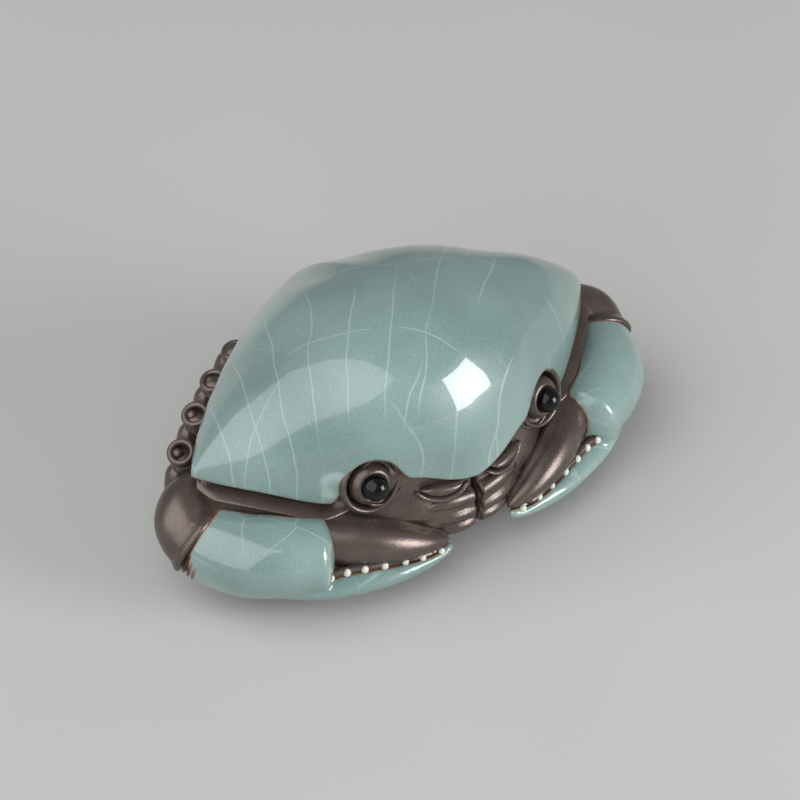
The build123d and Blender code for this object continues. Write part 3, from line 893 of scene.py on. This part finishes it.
@dataclass
class Claw:
    """One claw on the crab's left: elbow, wrist, glazed palm, upper finger and teeth."""

    form: ShellForm
    body: bpy.types.Object
    elbow_out: float = 1.3
    wrist_way: tuple = (-0.35, -0.85, -0.4)
    palm_z: float = 7.7
    gape_width: float = 0.45
    gape_depth: float = 0.45
    thin_width: float = 0.45
    finger_radius: float = 2.3
    finger_z: float = 8.25
    finger_root_x: float = 17.3
    finger_tip_x: float = 4.2
    finger_tip_z: float = 5.4
    tooth_radius: float = 0.44
    tooth_count: int = 8
    tooth_sink: tuple = (0.0, 0.0, 0.18)
    tooth_way: tuple = (0.0, -0.5, 1.0)
    tooth_profile: tuple = ((-1, 0), (-0.8, 0.7), (-0.1, 1), (0.6, 0.8), (1.05, 0.4), (1.15, 0))
    gum_shift: tuple = (-0.2, 0.3, -0.12)
    ring_count: int = 4
    ring_pitch: float = 0.62

    def at(self, x: float, out: float, z: float) -> tuple[float, float, float]:
        """Point in front of the shell's edge by a distance out."""
        return (x, float(self.form.front_edge(x)[0]) - out, z)

    def elbow(self) -> bpy.types.Object:
        """Hooded knuckle that leaves the body under the shell's corner."""
        x, y, z = self.form.half_width + self.elbow_out, self.form.corner_y, self.form.corner_z
        hood = limb_grid([
            (x - 7.2, y + 1.2, z - 4.6, 2.0, 2.0), (x - 4.0, y + 1.4, z - 4.6, 2.7, 2.6),
            (x - 1.5, y + 1.0, z - 4.9, 3.1, 3.0), (x - 0.1, y - 0.1, z - 5.7, 3.4, 3.3),
            (x + 0.0, y - 1.2, z - 6.7, 3.6, 3.5), (x - 0.4, y - 2.0, z - 7.3, 3.9, 3.8)],
            64, 64, (0.15, 0.02), (0, -1, 0))
        rim = turned_grid((x - 0.45, y - 2.0, z - 7.3), self.wrist_way, (
            (-0.9, 0), (-0.9, 3.4), (-0.5, 3.95), (0.0, 4.3), (0.35, 4.3), (0.5, 4.05), (0.45, 3.7),
            (0.1, 3.3), (0, 2.0), (0, 0)), 80, 80)
        piece = Bench.cast("left_elbow_hood", hood, rim)
        Bench.knead(piece, 0.16, 4)
        return piece

    def wrist(self) -> bpy.types.Object:
        """Short neck with rings."""
        form = self.form
        start = np.array([form.half_width + self.elbow_out, form.corner_y - 1.8, form.corner_z - 7.6])
        rings = [(0, 0), (0, 2.9)]
        for k in range(self.ring_count):
            along = self.ring_pitch * k
            rings += [(0.25 + along, 3.15), (0.5 + along, 3.5), (0.75 + along, 3.15)]
        rings += [(2.9, 2.9), (2.9, 0)]
        return Bench.mould("left_wrist_rings", turned_grid(start, self.wrist_way, rings, 72, 96))

    def palm(self) -> bpy.types.Object:
        """Swollen palm that runs on into the fixed lower finger."""
        palm = limb_grid([(*self.at(x, out, self.palm_z + lift), wide, tall) for x, out, lift, wide, tall in (
            (28.6, 1.3, 0.6, 3.4, 3.6), (27.4, 3.2, 0.5, 4.3, 4.35), (25.2, 4.1, 0.4, 4.7, 4.6),
            (22.8, 3.6, 0.25, 4.75, 4.6), (21.0, 3.1, 0.1, 4.6, 4.45), (19.6, 2.85, 0.0, 4.4, 4.3),
            (17.2, 2.7, -0.05, 4.1, 4.1))], 80, 80, (0.12, 0.09))
        lower = limb_grid([(*self.at(*place), wide, tall) for *place, wide, tall in (
            (23.5, 3.7, 5.6, 3.6, 2.2), (20.5, 3.1, 5.0, 3.8, 1.75), (18.0, 2.8, 4.5, 3.6, 1.55),
            (15.5, 2.5, 4.25, 3.1, 1.5), (12.0, 2.15, 4.1, 2.4, 1.45), (8.2, 1.7, 4.2, 1.5, 1.2),
            (5.2, 1.25, 4.45, 0.8, 0.7), (4.0, 1.0, 4.7, 0.35, 0.35))], 72, 80, (0.08, 0.02))
        piece = Bench.cast("left_glazed_claw", palm, lower)
        Bench.knead(piece, 0.24, 4)
        Bench.apply(piece, "SUBSURF", levels=1, render_levels=1)
        return piece

    def gape(self) -> np.ndarray:
        """Points of the line between the fingers, from the corner in the palm to the tip."""
        return smooth_path([self.at(*point) for point in (
            (21.2, 6.6, 5.3), (18.6, 5.2, 6.2), (16.3, 4.3, 6.2), (14.0, 3.75, 6.0), (11.2, 3.0, 5.65),
            (8.6, 2.45, 5.3), (5.8, 1.75, 5.0))], np.linspace(0, 1, 90))

    def finger(self) -> bpy.types.Object:
        """Upper finger, from a blunt root to a point near the slit."""
        r = self.finger_radius
        rise, span = self.finger_z - self.finger_tip_z, self.finger_root_x - self.finger_tip_x
        stations = []
        for share, out, wide, tall in (
                (-0.16, 0.9, 1.0, 1.2), (0.0, 1.05, 1.04, 1.2), (0.25, 1.4, 1.04, 1.14),
                (0.5, 1.45, 0.94, 0.97), (0.75, 1.1, 0.7, 0.64), (1, 0.6, 0.24, 0.24)):
            z = self.finger_z - rise * max(0.0, share) ** 1.4
            stations.append((*self.at(self.finger_root_x - span * share, out, z), r * wide, r * tall))
        grid = limb_grid(stations, 96, 72, (0.012, 0.06), crest=(math.radians(62), 0.2, 0.26))
        gum = self.gape()[::6] + np.array(self.gum_shift)
        gum_grid = limb_grid([(*point, 0.5, 0.42) for point in gum], 24, 72, (0.05, 0.05))
        return Bench.cast("left_upper_finger", grid, gum_grid)

    def teeth(self) -> bpy.types.Object:
        """Row of glazed beads along the gape."""
        beads = []
        line = self.gape()
        for k in range(self.tooth_count):
            share = k / (self.tooth_count - 1)
            centre = line[round(share * (len(line) - 1))] - np.array(self.tooth_sink)
            r = self.tooth_radius * (1.1 - 0.2 * share)
            profile = [(along * r, radius * r) for along, radius in self.tooth_profile]
            beads.append(turned_grid(centre, self.tooth_way, profile, 20, 14))
        return Bench.cast("left_claw_beads", *beads)

    def build(self, finishes: Finishes) -> None:
        """Models the left claw's pieces and mirrors them."""
        elbow, wrist, finger, palm = self.elbow(), self.wrist(), self.finger(), self.palm()
        gape = Bench.distance(palm, self.gape())
        Bench.groove(palm, gape, self.gape_width, self.gape_depth)
        clay = np.concatenate([Bench.points(piece) for piece in (self.body, finger, wrist, elbow)])
        Bench.thin(palm, np.minimum(Bench.distance(palm, clay), gape * 0.75), self.thin_width)
        for piece, node, slot, finish in (
                (elbow, "claw_elbow", Slot.CLAY, finishes.clay),
                (wrist, "claw_wrist", Slot.CLAY, finishes.clay),
                (finger, "claw_finger", Slot.CLAY, finishes.clay),
                (palm, "claw_palm", Slot.CELADON, finishes.claw),
                (self.teeth(), "claw_teeth", Slot.TOOTH, finishes.tooth)):
            pair(piece, node, finish)


@dataclass
class Legs:
    """Four walking legs a side, each a thigh with a curled knee and a shin."""

    form: ShellForm
    count: int = 4
    knee_z: float = 12.8
    knee_out: float = 1.3
    first_x: float = 23.4
    last_x: float = 8.6
    first_angle: float = 32.0
    last_angle: float = 74.0
    shin_out: float = 0.9
    shin_splay: float = 2.37
    lobe_radius: float = 0.62
    lobe_shift: float = 0.42
    thigh_length: float = 5.5
    root_drop: float = 2.5

    def build(self, finishes: Finishes) -> None:
        """Models the left legs and mirrors them."""
        for number in range(self.count):
            share = number / (self.count - 1)
            x = self.first_x + (self.last_x - self.first_x) * share
            angle = math.radians(self.first_angle + (self.last_angle - self.first_angle) * share)
            out = np.array([math.cos(angle), math.sin(angle), 0])
            knee = np.array([x, float(self.form.rear_edge(x)), self.knee_z]) + out * self.knee_out
            pair(self.thigh(number, knee, out), f"thigh_{number + 1}", finishes.clay)
            pair(self.shin(number, knee, out, share), f"shin_{number + 1}", finishes.clay)

    def thigh(self, number: int, knee: np.ndarray, out: np.ndarray) -> bpy.types.Object:
        """Upper leg with a ringed knee that shows a ball inside."""
        root = knee - out * self.thigh_length - np.array([0, 0, self.root_drop])
        bar = limb_grid([(*root, 1.3, 1.3), (*(root * 0.5 + knee * 0.5), 1.45, 1.45), (*knee, 1.5, 1.4),
                         (*(knee + out * 1.2 - np.array([0, 0, 0.9])), 1.2, 1.2)], ends=(0.05, 0.3))
        lean = unit(out * 0.45 + np.array([0, -0.45, 0.7]))
        seat = knee + out * (0.35 - 0.5 * number / self.count) + np.array([0, 0, 1.5 - 0.35 * number])
        ring = turned_grid(seat, lean, (
            (-1.3, 0), (-1.2, 1.1), (-0.5, 1.6), (0.2, 1.65), (0.55, 1.45), (0.6, 1.15), (0.35, 0.9),
            (-0.2, 0.85), (-0.6, 0.6), (-0.6, 0)), 48, 40)
        side = unit(np.cross(lean, out))
        lobe = seat + lean * 0.05 + unit(np.cross(side, lean)) * self.lobe_shift
        ball = turned_grid(lobe, lean, ball_profile(self.lobe_radius, 9), 32, 24)
        return Bench.cast(f"left_leg_{number + 1}_upper", bar, ring, ball)

    def shin(self, number: int, knee: np.ndarray, out: np.ndarray, share: float) -> bpy.types.Object:
        """Lower leg down to a blunt tip on the table."""
        top = knee + out * self.shin_out
        tip = top + out * self.shin_splay * share
        tip[2] = 0.05
        stations = []
        for part, wide in ((0, 1.2), (0.28, 1.5), (0.6, 1.25), (0.85, 0.95), (1, 0.75)):
            stations.append((*(top + (tip - top) * part), wide, wide))
        grid = limb_grid(stations, 40, 48, (0.12, 0.05), tuple(out))
        return Bench.mould(f"left_leg_{number + 1}_lower", grid)


@dataclass
class Studio:
    """Pale floor, soft panels and the camera at the photograph's angle."""

    azimuth: float = -38.2
    elevation: float = 40.0
    target: tuple = (0.0, -3.5, 13.8)
    distance: float = 650.0
    field: float = 88.9
    sensor: float = 36.0
    floor_size: float = 6.0
    paper: tuple = (tone(184, 184, 182), tone(192, 192, 190))
    surround: tuple = (0.86, 0.88, 0.9, 1.0)
    surround_strength: float = 0.3

    def axes(self) -> tuple[Vector, Vector, Vector]:
        """Picture's right, up and towards the camera."""
        a, e = math.radians(self.azimuth), math.radians(self.elevation)
        back = Vector((math.sin(a) * math.cos(e), -math.cos(a) * math.cos(e), math.sin(e)))
        right = Vector((math.cos(a), math.sin(a), 0))
        return right, back.cross(right), back

    def camera(self) -> None:
        """Adds the camera."""
        data = bpy.data.cameras.new("camera")
        data.sensor_width = self.sensor
        data.lens = self.sensor * self.distance / self.field
        data.clip_start, data.clip_end = 0.01, 20
        camera = bpy.data.objects.new("camera", data)
        bpy.context.scene.collection.objects.link(camera)
        back = self.axes()[2]
        camera.location = (Vector(self.target) + back * self.distance) * MM
        camera.rotation_euler = back.to_track_quat("Z", "Y").to_euler()
        bpy.context.scene.camera = camera

    def panel(self, name: str, way: tuple, distance: float, size: tuple, power: float) -> None:
        """Adds a soft panel.

        Args:
            name: the lamp's name.
            way: its direction in picture axes: right, up and towards the camera.
            distance: metres from the figurine.
            size: width and height in metres.
            power: watts.
        """
        data = bpy.data.lights.new(name, "AREA")
        data.shape = "RECTANGLE"
        data.size, data.size_y = size
        data.energy = power
        lamp = bpy.data.objects.new(name, data)
        bpy.context.scene.collection.objects.link(lamp)
        right, up, back = self.axes()
        toward = (right * way[0] + up * way[1] + back * way[2]).normalized()
        lamp.location = Vector(self.target) * MM + toward * distance
        lamp.rotation_euler = toward.to_track_quat("Z", "Y").to_euler()

    def floor(self) -> None:
        """Adds the pale floor."""
        Bench.pick()
        bpy.ops.mesh.primitive_plane_add(size=self.floor_size)
        floor = bpy.context.object
        floor.name = "floor"
        paint = Paint("floor_paper", specular_ior_level=0.2)
        cloud = paint.noise(60.0, 2.0)
        colour = paint.mix(cloud, *self.paper)
        floor.data.materials.append(paint.finish(colour, 0.8 + cloud * 0.1, cloud, 0.02))

    def world(self) -> None:
        """Sets an even pale surround."""
        world = bpy.data.worlds.new("studio")
        bpy.context.scene.world = world
        world.use_nodes = True
        surround = world.node_tree.nodes["Background"]
        surround.inputs["Color"].default_value = self.surround
        surround.inputs["Strength"].default_value = self.surround_strength

    def build(self) -> None:
        """Sets up the whole studio."""
        self.camera()
        self.floor()
        self.world()
        self.panel("left_panel", (-0.55, 0.2, 0.8), 0.75, (1.3, 1.2), 9.0)
        self.panel("right_window", (0.91, -0.1, 0.4), 0.5, (0.24, 0.34), 2.8)
        bpy.context.scene.view_settings.view_transform = "Standard"


def dress_underside(finishes: Finishes) -> None:
    """Gives the base plate and the tail flap, whose solids stay, the clay finish."""
    for node in ("belly_plate", "abdomen_flap"):
        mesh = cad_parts[node].data
        mesh.materials.clear()
        mesh.materials.append(finishes.clay)
        LOG.info("%s keeps its solid", node)


def main() -> None:
    """Builds the figurine and its studio."""
    logging.basicConfig(level=logging.INFO, format="%(name)s: %(message)s")
    form = ShellForm.from_frame()
    finishes = Finishes.make()
    eye = Eye(form)
    Carapace(form, eye).build(finishes)
    body = LowerBody(form).build(finishes)
    eye.build(finishes)
    Face().build(finishes)
    Claw(form, body).build(finishes)
    Legs(form).build(finishes)
    dress_underside(finishes)
    Studio().build()


if __name__ == "__main__":
    main()
